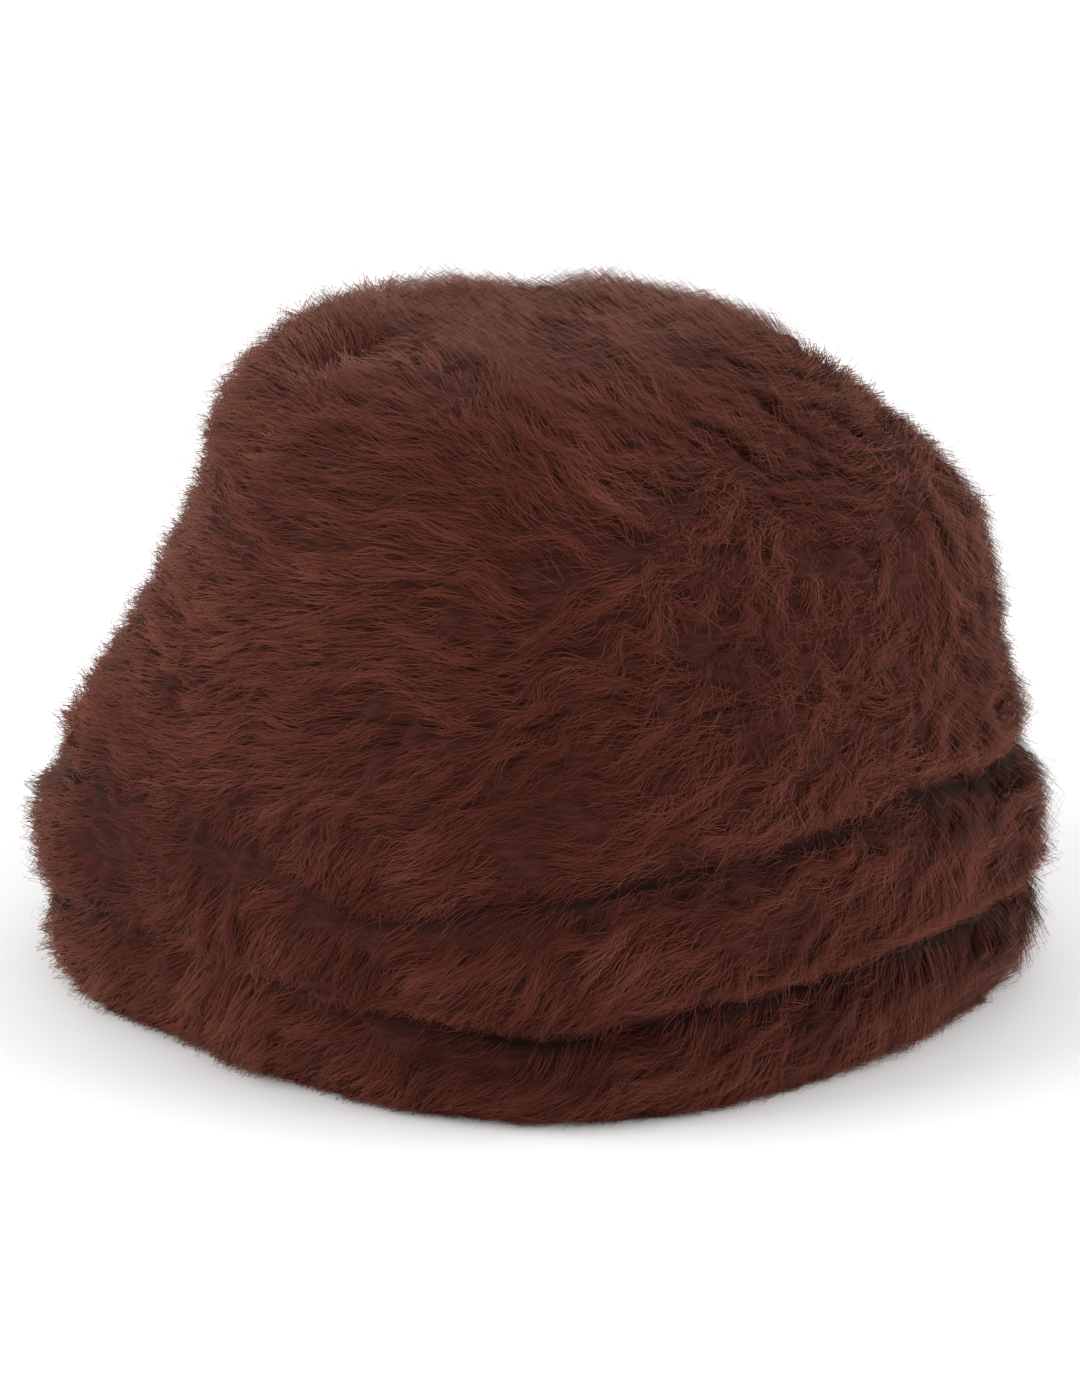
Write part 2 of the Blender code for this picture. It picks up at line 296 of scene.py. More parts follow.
def firmness(turn):
    """How firmly the stitch lines draw the fur in: least at the front left, where the brim puckers."""
    away = (np.degrees(turn) - PUCKER_TURN + 180) % 360 - 180
    return 1 - PUCKER_EASE * np.exp(-((away / PUCKER_REACH) ** 4))


def painted_groove_shade(turn, station):
    """Painted shade under a stitch line: 1 close under the line, falling to 0 a few millimetres below it.
    """
    row = brim_row(turn, station)
    depth = np.exp(-(((1.98 - row) % 1 - 0.02) / 0.12) ** 2)
    return firmness(turn) * np.where((row < 2.04) & (station > 0), depth, 0.0)


def swell_at(p):
    total = np.zeros(p.shape[:-1])
    for middle, reach, swell in SWELLS:
        total += swell * np.exp(-((p - middle) ** 2).sum(-1) / reach**2)
    return total


def pile_at(turn, station):
    """How deep the combed fur is. Each brim row is full at its lower edge and flat under its upper one."""
    row = brim_row(turn, station)
    k = np.clip(np.floor(row), 0, 2)
    w = np.clip(row - k, 0, 1)
    line = STITCH_PILE + (1 - firmness(turn)) * 0.5 * PILE
    low = np.where(k == 0, RIM_PILE, line)
    high = np.where(k == 2, SEAM_PILE, line)
    lower = np.minimum(1, np.maximum(w, 0) / np.where(k == 0, 0.36, 0.17)) ** 0.6
    upper = np.minimum(1, (1 - w) / 0.26) ** 0.6
    brim = np.minimum(low + (PILE - low) * lower, high + (PILE - high) * upper)
    away = np.minimum(station - SEAM_AT, np.abs(station - TIP_AT)) / SEAM_REACH
    swell = np.sin(np.pi / 2 * np.clip(away, 0, 1))
    crown = SEAM_PILE + (PILE - SEAM_PILE) * swell
    return np.where(station < SEAM_AT, brim, crown)


class Noise:
    """Smooth noise in space, between about -1 and 1."""

    def __init__(self, wave, waves=14, seed=0):
        r = np.random.default_rng(seed)
        way = r.normal(size=(waves, 3))
        way /= np.linalg.norm(way, axis=1, keepdims=True)
        self.k = way * (2 * np.pi / wave) * r.uniform(0.6, 1.5, (waves, 1))
        self.phase = r.uniform(0, 2 * np.pi, waves)
        self.scale = math.sqrt(2 / waves)

    def __call__(self, p):
        return np.sin(p @ self.k.T + self.phase).sum(-1) * self.scale


SWAY = Noise(0.034, seed=3)
SWAY_FINE = Noise(0.011, seed=4)
CURL = Noise(0.0075, seed=5)
SHADE = Noise(0.040, seed=6)
SHADE_FINE = Noise(0.009, seed=7)

SWELLS = [(skin(math.radians(t) * np.ones(1), w * TOP_AT * np.ones(1))[0], r, s) for t, w, r, s in PATCHES]
DIMPLE = skin(math.radians(DIMPLE_TURN) * np.ones(1), DIMPLE_WAY * TOP_AT * np.ones(1))[0]
COMB = np.array(COMB, float)
COMB_AT = skin(np.radians(COMB[:, 0]), COMB[:, 1] * TOP_AT)


def comb_at(p):
    """(angle in radians, mess) of the combing at points."""
    d = ((p[:, None] - COMB_AT[None]) ** 2).sum(-1)
    w = 1 / (d + 0.010**2) ** 2
    w /= w.sum(1, keepdims=True)
    a = np.radians(COMB[:, 2])
    return np.arctan2(w @ np.sin(a), w @ np.cos(a)), w @ COMB[:, 3]


def nap(p, q, sx, sy, n):
    """The way that the fur lies at places, along the skin."""
    turn, station = turn_station(q)
    round_it = np.stack([np.sin(turn), -np.cos(turn), np.zeros_like(turn)], -1)
    round_it -= n * (round_it * n).sum(-1, keepdims=True)
    round_it /= np.linalg.norm(round_it, axis=-1, keepdims=True) + 1e-9
    down = np.cross(round_it, n)
    down *= np.where((down * (sx * q[:, :1] + sy * q[:, 1:])).sum(-1, keepdims=True) < 0, -1, 1)
    angle, mess = comb_at(p)
    angle = angle + 0.20 * SWAY(p) + (0.16 + 0.25 * mess) * SWAY_FINE(p) + 0.75 * mess * CURL(p)
    side = round_it * np.cos(angle)[:, None] + down * np.sin(angle)[:, None]
    over = np.array(TOP_LIE) + np.outer(SWAY(p), TOP_SWAY)
    over = over - n * (over * n).sum(-1, keepdims=True)
    over /= np.linalg.norm(over, axis=-1, keepdims=True)
    front = 0.5 - 0.5 * np.sin(turn)
    top = np.clip((station / TOP_AT - 0.64 - 0.16 * front) / 0.10, 0, 1)[:, None]
    way = side * (1 - top) + over * top
    away = p - DIMPLE
    whirl = np.cross(n, away) / (np.linalg.norm(away, axis=-1, keepdims=True) + 1e-6)
    near = 0.85 * np.exp(-(away**2).sum(-1, keepdims=True) / DIMPLE_REACH**2)
    way = way * (1 - near) - whirl * near
    return way / (np.linalg.norm(way, axis=-1, keepdims=True) + 1e-9)


def roots(count):
    """Flat places spread evenly over the hat."""
    found = []
    while sum(len(f) for f in found) < count:
        turn = rng.uniform(0, 2 * np.pi, count)
        station = rng.uniform(0.0, TOP_AT, count)
        row = section_at(station)
        half_width = row[:, 2:6].mean(1)
        way = brim_row(turn, station) % 1
        edge = np.where(station < STITCHED_TO * SEAM_AT, np.exp(-((1 - way) / 0.16) ** 2), 0.0)
        keep = rng.uniform(0, WIDEST * (1 + EDGE_ROOTS), count) < half_width * (1 + EDGE_ROOTS * edge)
        found.append(flat(turn[keep], station[keep]))
    return np.concatenate(found)[:count]


def trace(q, length, steps=6):
    """Paths of combed strands: places along them, with the frames there."""
    places, points, normals = [q], [], []
    for step in range(steps + 1):
        p, sx, sy, n = skin_frame(q)
        points.append(p)
        normals.append(n)
        if step == steps:
            break
        way = nap(p, q, sx, sy, n)
        a, b, c = (sx * sx).sum(-1), (sx * sy).sum(-1), (sy * sy).sum(-1)
        u, v = (sx * way).sum(-1), (sy * way).sum(-1)
        det = a * c - b * b
        dq = np.stack([(c * u - b * v) / det, (a * v - b * u) / det], -1)
        q = q + dq * (length / steps)[:, None]
        places.append(q)
    return np.array(places), np.array(points), np.array(normals)


def stop_short(places, turn0, station0):
    """The share of its path that each strand keeps, so that it ends over the stitch line below it."""
    turn, station = turn_station(places)
    row = brim_row(turn, station)
    first = brim_row(turn0, station0)
    line = np.floor(np.minimum(first, 2.999))
    hang = rng.uniform(-0.10, 0.02, len(first)) * np.where(line == 0, 0.3, 1.0)
    hang = hang - np.where(line == 1, 0.03, 0.0)
    pucker = 0.30 * (1 - firmness(turn0)) * rng.uniform(0, 1, len(first))
    low = line - (hang + np.where(line == 0, 0.0, pucker))
    ends = np.ones(len(first))
    held = station0 < SEAM_AT
    for k in range(len(row) - 1):
        over = held & (row[k] > low) & (row[k + 1] <= low)
        share = (k + (row[k] - low) / np.maximum(row[k] - row[k + 1], 1e-9)) / (len(row) - 1)
        ends = np.where(over & (ends == 1), share, ends)
    return ends


def resample(values, ends, count):
    """Values at count + 1 even places along the kept share of each path."""
    steps = len(values) - 1
    found = []
    for i in range(count + 1):
        at = ends * steps * i / count
        k = np.minimum(at.astype(int), steps - 1)
        f = (at - k)[:, None]
        pick = np.arange(values.shape[1])
        found.append(values[k, pick] * (1 - f) + values[k + 1, pick] * f)
    return np.array(found)


def nearest(points, centres):
    tree = KDTree(len(centres))
    for i, c in enumerate(centres):
        tree.insert(c, i)
    tree.balance()
    return np.array([tree.find(p)[1] for p in points])


def make_strands(count):
    """Strands as (points, normals, tone with painted light and shade, station, width)."""
    q0 = roots(count)
    turn0, station0 = turn_station(q0)
    p0 = skin(turn0, station0)
    _, mess0 = comb_at(p0)
    length = STRAND_LENGTH * rng.uniform(0.72, 1.12, count) * (1 - 0.25 * np.minimum(mess0, 1.2))
    places, points, normals = trace(q0, length)
    ends = np.maximum(stop_short(places, turn0, station0), 0.12)
    places = resample(places, ends, SEGMENTS)
    normals = resample(normals, ends, SEGMENTS)
    normals /= np.linalg.norm(normals, axis=-1, keepdims=True)
    turn, station = turn_station(places)
    station = np.maximum(station, -0.001)
    base = skin(turn, station)
    t = np.linspace(0, 1, SEGMENTS + 1)[:, None]
    loose = rng.uniform(0, 1, count) < LOOSE
    tall = np.where(loose, rng.uniform(0.70, 1.18, count), 0.50 + 0.48 * rng.uniform(0, 1, count) ** 0.7)
    rise = np.sin(np.pi * 0.72 * t)
    swell = 0.4 * swell_at(p0) + 0.6 * swell_at(base)
    lift = 1 + 0.07 * SWAY_FINE(p0) + 0.05 * SWAY(p0) + 0.85 * swell
    height = BACKING * 0.6 + pile_at(turn, station) * (0.04 + 0.96 * rise) * tall * lift
    flick = rng.normal(0, 1, count) * 0.0003 * (1 + 1.0 * mess0)
    points = base + normals * (height + flick[None] * t**3)[..., None]

    # a lazy wave in each strand
    side = np.cross(points[-1] - points[0], normals[0])
    side /= np.linalg.norm(side, axis=-1, keepdims=True) + 1e-9
    bend = rng.normal(0, 1, count) * np.where(loose, LOOSE_BEND, BEND) * (1 + 1.3 * mess0)
    wave = rng.normal(0, 1, count) * WAVE * (1 + 2.0 * mess0)
    points = points + side[None] * (bend[None] * t**2 + wave[None] * np.sin(2 * np.pi * t))[..., None]

    # strands gather into tufts, and tufts into locks
    tone_and_painted_light = np.zeros(count)
    for share, pull, spread, seed in ((TUFT_SHARE, 0.55, 0.30, 21), (LOCK_SHARE, 0.24, 0.30, 22)):
        r = np.random.default_rng(seed)
        heads = r.choice(count, count // share, replace=False)
        owner = nearest(p0, p0[heads])
        guide = heads[owner]
        strong = (pull * (1 + spread * r.uniform(-1, 1, len(heads))))[owner]
        strong = strong * (1 - 0.4 * np.minimum(mess0, 1)) * np.where(loose, 0.2, 1.0)
        grip = strong[None] * t**1.4
        offset = points[:, guide] - points
        # a guide that stops at a stitch line doesn't pull strands across it
        alike = np.exp(-((ends[guide] - ends) / 0.35) ** 2)
        points = points + offset * (grip * alike[None])[..., None]
        tone_and_painted_light += r.normal(0, 1, len(heads))[owner] * (0.45 if share == TUFT_SHARE else 0.35)
    tone_and_painted_light = 0.5 + 0.12 * (tone_and_painted_light + 0.5 * rng.normal(0, 1, count)) + 0.05 * SHADE(p0) + 0.04 * SHADE_FINE(p0)
    # painted highlight: loose strands in messy fur are painted lighter
    # painted shade and painted light: strands are darkened where the fur parts and in the dimple, and
    # lightened where it swells
    tone_and_painted_light += 0.38 * swell[1:3].mean(0) + 0.16 * np.where(loose, np.minimum(mess0, 1), 0.0)
    # painted shade: strands rooted just under a stitch line are painted darker, where the row above shades
    # the groove
    tone_and_painted_light -= 0.33 * painted_groove_shade(turn0, station0)
    points[..., 2] = np.maximum(points[..., 2], 0.0005 + 0.0008 * rng.uniform(0, 1, count)[None])
    width = STRAND_WIDTH * rng.uniform(0.8, 1.2, count) * np.clip(1.9 - 1.3 * tall, 0.45, 1.2)
    return points, normals, np.clip(tone_and_painted_light, 0.02, 0.98), turn0, station0, width


def add_mesh(name, points, polygons, sizes, material):
    mesh = bpy.data.meshes.new(name)
    mesh.vertices.add(len(points))
    mesh.vertices.foreach_set("co", np.asarray(points, np.float32).ravel())
    mesh.loops.add(len(polygons))
    mesh.loops.foreach_set("vertex_index", np.asarray(polygons, np.int32))
    mesh.polygons.add(len(sizes))
    starts = np.concatenate([[0], np.cumsum(sizes)[:-1]])
    mesh.polygons.foreach_set("loop_start", starts.astype(np.int32))
    mesh.polygons.foreach_set("loop_total", np.asarray(sizes, np.int32))
    mesh.update(calc_edges=True)
    piece = bpy.data.objects.new(name, mesh)
    bpy.context.scene.collection.objects.link(piece)
    mesh.materials.append(material)
    mesh.polygons.foreach_set("use_smooth", np.ones(len(sizes), bool))
    return piece


def add_values(mesh, name, values):
    layer = mesh.attributes.new(name, "FLOAT", "POINT")
    layer.data.foreach_set("value", np.asarray(values, np.float32))


def fur_piece(name, pick, strands, material):
    """One mesh of the picked strands, each a tapering blade that lies along the fur."""
    points, normals, tone_and_painted_light, _, _, width = strands
    points, normals, tone_and_painted_light, width = points[:, pick], normals[:, pick], tone_and_painted_light[pick], width[pick]
    count = points.shape[1]
    along = np.gradient(points, axis=0)
    side = np.cross(along, normals)
    side /= np.linalg.norm(side, axis=-1, keepdims=True) + 1e-9
    face = np.cross(side, along)
    face /= np.linalg.norm(face, axis=-1, keepdims=True) + 1e-9
    roll = rng.normal(0, 0.35, count)[None, :, None]
    side = side * np.cos(roll) + face * np.sin(roll)
    t = np.linspace(0, 1, SEGMENTS + 1)
    taper = (0.95 + 0.3 * t) * (1 - t**1.5)
    half = (width[None] * taper[:, None] / 2)[..., None] * side
    verts = np.empty((count, 2 * SEGMENTS + 1, 3))
    for k in range(SEGMENTS):
        verts[:, 2 * k] = points[k] - half[k]
        verts[:, 2 * k + 1] = points[k] + half[k]
    verts[:, -1] = points[-1]
    verts[..., 2] = np.maximum(verts[..., 2], LEAST_HEIGHT)
    soft = np.empty_like(verts)
    for k in range(SEGMENTS + 1):
        lie = np.cross(side[k], along[k])
        lie /= np.linalg.norm(lie, axis=-1, keepdims=True) + 1e-9
        lie *= np.where((lie * normals[k]).sum(-1, keepdims=True) < 0, -1, 1)
        soft[:, 2 * k:2 * k + 2] = (SOFTNESS * normals[k] + (1 - SOFTNESS) * lie)[:, None]
    soft /= np.linalg.norm(soft, axis=-1, keepdims=True)
    quads = []
    for k in range(SEGMENTS - 1):
        quads.append([2 * k, 2 * k + 1, 2 * k + 3, 2 * k + 2])
    pattern = np.array(sum(quads, []) + [2 * SEGMENTS - 2, 2 * SEGMENTS - 1, 2 * SEGMENTS])
    size = 2 * SEGMENTS + 1
    polygons = (pattern[None] + (np.arange(count) * size)[:, None]).ravel()
    sizes = np.tile([4] * (SEGMENTS - 1) + [3], count)
    piece = add_mesh(name, verts.reshape(-1, 3), polygons, sizes, material)
    levels = np.array([k // 2 for k in range(2 * SEGMENTS)] + [SEGMENTS]) / SEGMENTS
    add_values(piece.data, "tone_and_painted_light", np.repeat(tone_and_painted_light, size))
    add_values(piece.data, "along", np.tile(levels, count))
    across = np.array([-1, 1] * SEGMENTS + [0]) * 0.004
    u = np.repeat(tone_and_painted_light, size) + np.tile(across, count)
    v = np.tile(0.02 + 0.96 * levels, count)
    uv = np.stack([u, v], -1)
    layer = piece.data.uv_layers.new(name="OFBake")
    layer.data.foreach_set("uv", uv[polygons].astype(np.float32).ravel())
    piece.data.normals_split_custom_set_from_vertices(soft.reshape(-1, 3))
    return piece


def cloth_piece(name, places, outer, inner, columns, material, backing):
    """A closed panel of cloth: dense short fur in front and the knitted back, joined along their edges."""
    turns = np.linspace(0, 2 * np.pi, columns, endpoint=False)
    points, deep = [], []
    for at in outer:
        turn, station = places(turns, at)
        p, _, _, n = skin_frame(flat(turn, station))
        share = UNDERFUR * (1 + 0.6 * swell_at(p)) + 0.05 * SWAY_FINE(p) + 0.05 * CURL(p)
        points.append(p + n * (BACKING + pile_at(turn, station) * share)[:, None])
        # painted shade: how far the under-fur is darkened close under a stitch line
        deep.append(painted_groove_shade(turn, station))
    for at in inner:
        turn, station = places(turns, at)
        points.append(skin(turn, station))
        deep.append(0 * turn)
    points = np.array(points)
    points[..., 2] = np.maximum(points[..., 2], LEAST_HEIGHT)
    count, last = len(points), len(outer) - 1
    pairs = [(i, i + 1) for i in range(count - 1) if i != last] + [(count - 1, 0)]
    meets_at_top = np.allclose(points[last].std(0), 0, atol=1e-3)
    if not meets_at_top:
        pairs.append((last, last + 1))
    polygons, slots, uv = [], [], []
    j = np.arange(columns)
    k = (j + 1) % columns
    for a, b in pairs:
        quad = np.stack([a * columns + j, a * columns + k, b * columns + k, b * columns + j], -1)
        polygons.append(quad)
        slots.append(np.full(columns, 0 if a <= last else 1))
        low, high = a / count, b / count if b > a else 1.0
        u = np.stack([j, j + 1, j + 1, j], -1) / columns
        v = np.broadcast_to([low, low, high, high], u.shape)
        uv.append(np.stack([u, v], -1))
    polygons = np.concatenate(polygons)
    piece = add_mesh(name, points.reshape(-1, 3), polygons.ravel(), np.full(len(polygons), 4), material)
    piece.data.materials.append(backing)
    add_values(piece.data, "deep", np.concatenate(deep))
    piece.data.polygons.foreach_set("material_index", np.concatenate(slots).astype(np.int32))
    layer = piece.data.uv_layers.new(name="OFBake")
    layer.data.foreach_set("uv", np.concatenate(uv).astype(np.float32).ravel())
    return piece


def srgb(r, g, b):
    """A colour given as 0 to 255 values on a screen."""
    screen = (r / 255, g / 255, b / 255)
    linear = [c / 12.92 if c <= 0.04045 else ((c + 0.055) / 1.055) ** 2.4 for c in screen]
    return (*linear, 1.0)


def new_material(name, roughness):
    material = bpy.data.materials.new(name)
    material.use_nodes = True
    shader = material.node_tree.nodes["Principled BSDF"]
    shader.inputs["Roughness"].default_value = roughness
    return material, material.node_tree.nodes, material.node_tree.links, shader


def ramp(nodes, stops):
    node = nodes.new("ShaderNodeValToRGB")
    while len(node.color_ramp.elements) < len(stops):
        node.color_ramp.elements.new(0.5)
    for element, (at, colour) in zip(node.color_ramp.elements, stops):
        element.position = at
        element.color = colour
    return node


def fur_material():
    """Strands each of their own tone, dark at the root and paler to the tip; the darkening towards the root
    is painted shade, deep in the pile.
    """
    material, nodes, links, shader = new_material("fur_strands", 0.62)
    tone_and_painted_light = nodes.new("ShaderNodeAttribute")
    tone_and_painted_light.attribute_name = "tone_and_painted_light"
    along = nodes.new("ShaderNodeAttribute")
    along.attribute_name = "along"
    shades = ramp(nodes, [
        (0.0, srgb(50, 17, 10)),
        (0.35, srgb(80, 35, 24)),
        (0.65, srgb(104, 53, 40)),
        (1.0, srgb(138, 86, 70)),
    ])
    links.new(tone_and_painted_light.outputs["Fac"], shades.inputs["Fac"])
    # painted shade: strands are darkened to half towards the root, where the pile is deep
    depth = ramp(nodes, [
        (0.0, (0.50, 0.47, 0.46, 1)),
        (0.45, (0.80, 0.78, 0.77, 1)),
        (1.0, (1.0, 1.0, 1.0, 1)),
    ])
    links.new(along.outputs["Fac"], depth.inputs["Fac"])
    mix = nodes.new("ShaderNodeMix")
    mix.data_type, mix.blend_type = "RGBA", "MULTIPLY"
    mix.inputs["Factor"].default_value = 1.0
    links.new(shades.outputs["Color"], mix.inputs["A"])
    links.new(depth.outputs["Color"], mix.inputs["B"])
    links.new(mix.outputs["Result"], shader.inputs["Base Color"])
    shader.inputs["Specular IOR Level"].default_value = 0.08
    shader.inputs["Sheen Weight"].default_value = 0.34
    shader.inputs["Sheen Roughness"].default_value = 0.4
    shader.inputs["Sheen Tint"].default_value = srgb(230, 174, 154)
    return material


def underfur_material():
    """The dense short fur between the roots, painted near black close under the stitch lines as painted
    shade.
    """
    material, nodes, links, shader = new_material("underfur", 0.95)
    noise = nodes.new("ShaderNodeTexNoise")
    noise.inputs["Scale"].default_value = 900.0
    noise.inputs["Detail"].default_value = 3.0
    coords = nodes.new("ShaderNodeTexCoord")
    stretch = nodes.new("ShaderNodeMapping")
    stretch.inputs["Scale"].default_value = (0.22, 0.30, 1.0)
    links.new(coords.outputs["Object"], stretch.inputs["Vector"])
    links.new(stretch.outputs["Vector"], noise.inputs["Vector"])
    shades = ramp(nodes, [(0.3, srgb(40, 14, 9)), (0.7, srgb(66, 28, 19))])
    links.new(noise.outputs["Fac"], shades.inputs["Fac"])
    # painted shade: the deep attribute mixes the under-fur towards near black under the stitch lines
    deep = nodes.new("ShaderNodeAttribute")
    deep.attribute_name = "deep"
    mix = nodes.new("ShaderNodeMix")
    mix.data_type = "RGBA"
    links.new(deep.outputs["Fac"], mix.inputs["Factor"])
    links.new(shades.outputs["Color"], mix.inputs["A"])
    mix.inputs["B"].default_value = srgb(24, 8, 5)
    links.new(mix.outputs["Result"], shader.inputs["Base Color"])
    bump = nodes.new("ShaderNodeBump")
    bump.inputs["Strength"].default_value = 0.6
    bump.inputs["Distance"].default_value = 0.0006
    links.new(noise.outputs["Fac"], bump.inputs["Height"])
    links.new(bump.outputs["Normal"], shader.inputs["Normal"])
    shader.inputs["Specular IOR Level"].default_value = 0.15
    return material


def backing_material():
    """The knitted back of the cloth: columns of small stitches."""
    material, nodes, links, shader = new_material("knitted_back", 0.9)
    coords = nodes.new("ShaderNodeTexCoord")
    wales = nodes.new("ShaderNodeTexWave")
    wales.inputs["Scale"].default_value = 260.0
    wales.inputs["Distortion"].default_value = 0.6
    wales.bands_direction = "X"
    courses = nodes.new("ShaderNodeTexWave")
    courses.inputs["Scale"].default_value = 300.0
    courses.inputs["Distortion"].default_value = 0.6
    courses.bands_direction = "Z"
    for wave in (wales, courses):
        links.new(coords.outputs["Object"], wave.inputs["Vector"])
    both = nodes.new("ShaderNodeMath")
    both.operation = "MULTIPLY"
    links.new(wales.outputs["Fac"], both.inputs[0])
    links.new(courses.outputs["Fac"], both.inputs[1])
    shades = ramp(nodes, [(0.0, srgb(58, 32, 25)), (1.0, srgb(96, 60, 48))])
    links.new(both.outputs["Value"], shades.inputs["Fac"])
    links.new(shades.outputs["Color"], shader.inputs["Base Color"])
    bump = nodes.new("ShaderNodeBump")
    bump.inputs["Strength"].default_value = 0.5
    bump.inputs["Distance"].default_value = 0.0004
    links.new(both.outputs["Value"], bump.inputs["Height"])
    links.new(bump.outputs["Normal"], shader.inputs["Normal"])
    return material


def thread_material():
    material, nodes, links, shader = new_material("thread", 0.6)
    noise = nodes.new("ShaderNodeTexNoise")
    noise.inputs["Scale"].default_value = 700.0
    shades = ramp(nodes, [(0.3, srgb(34, 14, 9)), (0.7, srgb(56, 26, 18))])
    links.new(noise.outputs["Fac"], shades.inputs["Fac"])
    links.new(shades.outputs["Color"], shader.inputs["Base Color"])
    return material


STITCH_STEP = 0.0042
THREAD_RADIUS = 0.00028
THREAD_SIDES, THREAD_STEPS = 5, 3


def stitches(name, row, material, inside):
    """A line of stitches along a row of the brim."""
    sides, steps = THREAD_SIDES, THREAD_STEPS
    turns = np.linspace(0, 2 * np.pi, 721)
    p = skin(turns, brim_station(turns, np.full_like(turns, row)))
    walked = np.concatenate([[0], np.cumsum(np.linalg.norm(np.diff(p, axis=0), axis=1))])
    count = int(walked[-1] / STITCH_STEP)
    points, polygons = [], []
    for i in range(count):
        at = np.interp(walked[-1] * (i + np.linspace(0.16, 0.84, steps + 1)) / count, walked, turns)
        q = flat(at, brim_station(at, np.full_like(at, row)))
        base, _, _, n = skin_frame(q)
        arch = np.sin(np.linspace(0, np.pi, steps + 1))
        if inside:
            middle = base - n * (0.00005 + 0.00022 * arch)[:, None]
        else:
            middle = base + n * (BACKING + STITCH_PILE * 0.35 + 0.0001 * arch)[:, None]
        along = np.gradient(middle, axis=0)
        along /= np.linalg.norm(along, axis=1, keepdims=True)
        side = np.cross(along, n)
        up = np.cross(side, along)
        start = len(points)
        for k in range(steps + 1):
            thick = THREAD_RADIUS * (0.45 + 0.55 * arch[k])
            for s in range(sides):
                a = 2 * np.pi * s / sides
                points.append(middle[k] + thick * (np.cos(a) * side[k] + np.sin(a) * up[k]))
        for k in range(steps):
            for s in range(sides):
                a, b = start + k * sides + s, start + k * sides + (s + 1) % sides
                polygons.append((a, b, b + sides, a + sides))
        polygons.append(tuple(start + s for s in reversed(range(sides))))
        polygons.append(tuple(start + steps * sides + s for s in range(sides)))
    mesh = bpy.data.meshes.new(name)
    mesh.from_pydata([tuple(v) for v in points], [], polygons)
    mesh.materials.append(material)
    mesh.shade_smooth()
    piece = bpy.data.objects.new(name, mesh)
    bpy.context.scene.collection.objects.link(piece)
    return piece


FUR = fur_material()
UNDERFUR_CLOTH = underfur_material()
BACK = backing_material()
THREAD = thread_material()


def brim_places(turns, row):
    return turns, brim_station(turns, np.full_like(turns, row))


def crown_places(turns, station):
    return turns, np.full_like(turns, station)


HALF_GAP = 0.00015  # half of the gap between two panels
ROW_PLACES = np.array([0, 0.04, 0.08, 0.14, 0.24, 0.38, 0.52, 0.66, 0.78, 0.88, 0.95])
SEAM_ROW = 3.0 - 1e-3

brim_out = np.concatenate([k + ROW_PLACES for k in range(3)] + [[SEAM_ROW]])
brim_in = np.linspace(SEAM_ROW, 0, 13)
brim = cloth_piece("brim_cloth", brim_places, brim_out, brim_in, 480, UNDERFUR_CLOTH, BACK)
side_out = np.linspace(SEAM_AT + HALF_GAP, TIP_AT - HALF_GAP, 24)
side_in = side_out[::-3]
side = cloth_piece("side_cloth", crown_places, side_out, side_in, 480, UNDERFUR_CLOTH, BACK)
tip_out = np.append(np.linspace(TIP_AT + HALF_GAP, TOP_AT - 0.0025, 28), TOP_AT - 1e-5)
tip_in = tip_out[::-1][::3]
tip = cloth_piece("tip_cloth", crown_places, tip_out, tip_in, 360, UNDERFUR_CLOTH, BACK)
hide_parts("brim")
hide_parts("crown_side")
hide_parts("crown_tip")

strands = make_strands(STRANDS)
_, _, _, turn0, station0, _ = strands
row0 = brim_row(turn0, station0)
on_brim = station0 < SEAM_AT
on_tip = station0 > TIP_AT
on_side = ~on_brim & ~on_tip
left = np.cos(turn0) < 0
groups = {
    "fur_brim_low": on_brim & (row0 < 1),
    "fur_brim_middle": on_brim & (row0 >= 1) & (row0 < 2),
    "fur_brim_high": on_brim & (row0 >= 2),
    "fur_side_left": on_side & left,
    "fur_side_right": on_side & ~left,
    "fur_tip": on_tip,
}
pieces = [brim, side, tip]
for name, chosen in groups.items():
    picked = np.flatnonzero(chosen)
    piece = fur_piece(name, picked, strands, FUR)
    print(name, len(picked), "strands")
    pieces.append(piece)
for row, name in ((1.0, "lower"), (2.0, "upper")):
    pieces.append(stitches("stitches_%s_outside" % name, row, THREAD, False))
    pieces.append(stitches("stitches_%s_inside" % name, row, THREAD, True))
for piece in pieces:
    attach(piece, "root")

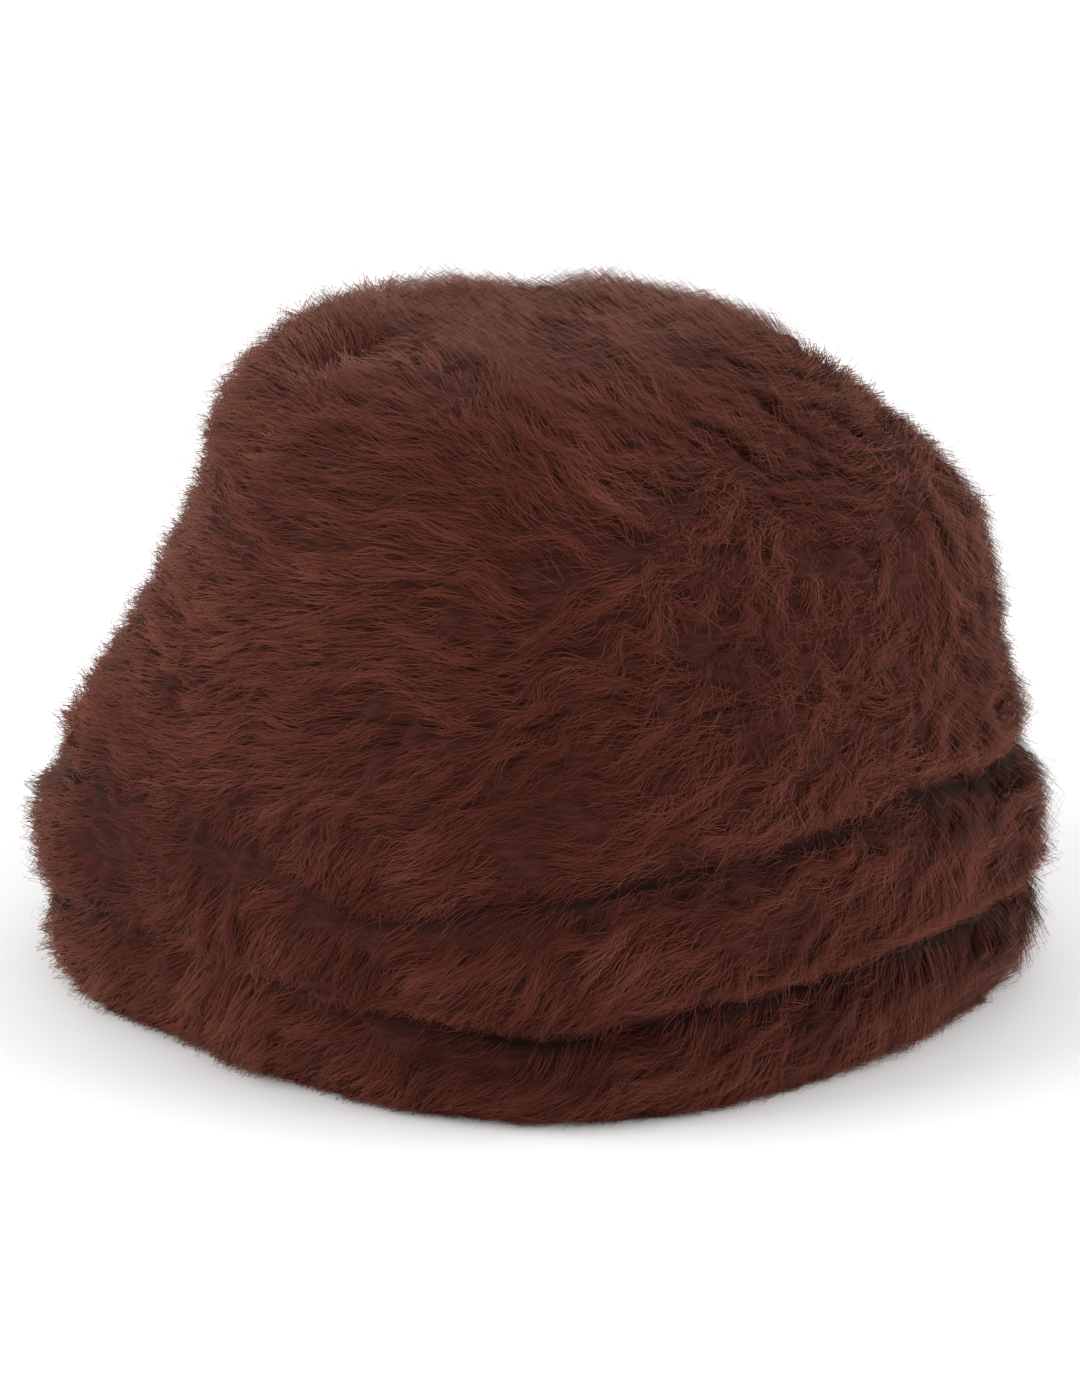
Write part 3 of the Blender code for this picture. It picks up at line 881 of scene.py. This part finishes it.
# Studio
FLOOR = 6  # half of the floor's width
floor_mesh = bpy.data.meshes.new("floor")
corners = [(-FLOOR, -FLOOR, 0), (FLOOR, -FLOOR, 0), (FLOOR, FLOOR, 0), (-FLOOR, FLOOR, 0)]
floor_mesh.from_pydata(corners, [], [(0, 1, 2, 3)])
floor = bpy.data.objects.new("floor", floor_mesh)
bpy.context.scene.collection.objects.link(floor)
paper, _, _, paper_shader = new_material("pale_floor", 0.9)
paper_shader.inputs["Base Color"].default_value = (0.86, 0.86, 0.86, 1)
paper_shader.inputs["Specular IOR Level"].default_value = 0.1
floor_mesh.materials.append(paper)

world = bpy.data.worlds.new("studio")
bpy.context.scene.world = world
world.use_nodes = True
world.node_tree.nodes["Background"].inputs["Color"].default_value = (1.0, 1.0, 1.0, 1)
world.node_tree.nodes["Background"].inputs["Strength"].default_value = 0.72


LIT_PLACE = Vector((0, 0, 0.08))


def softbox(name, place, size, power):
    light = bpy.data.lights.new(name, "AREA")
    light.shape = "SQUARE"
    light.size = size
    light.energy = power
    lamp = bpy.data.objects.new(name, light)
    lamp.location = place
    lamp.rotation_euler = (LIT_PLACE - Vector(place)).to_track_quat("-Z", "Y").to_euler()
    bpy.context.scene.collection.objects.link(lamp)


softbox("key", (-1.8, -0.4, 1.2), 1.5, 37)
softbox("side", (1.8, -0.3, 0.9), 1.5, 32)
softbox("front", (0.1, -2.2, 0.5), 1.4, 6)
softbox("back", (0.0, 1.8, 2.4), 2.6, 18)

EYE = (0.0, -1.2216, 0.4446)
LOOK_DOWN = 17.24  # degrees
LENS = 180.6

camera = bpy.data.cameras.new("camera")
camera.sensor_fit = "HORIZONTAL"
camera.sensor_width = 36.0
camera.lens = LENS
camera.clip_start = 0.01
eye = bpy.data.objects.new("camera", camera)
eye.location = EYE
eye.rotation_euler = (math.radians(90 - LOOK_DOWN), 0.0, 0.0)
bpy.context.scene.collection.objects.link(eye)
bpy.context.scene.camera = eye
bpy.context.scene.view_settings.view_transform = "Standard"
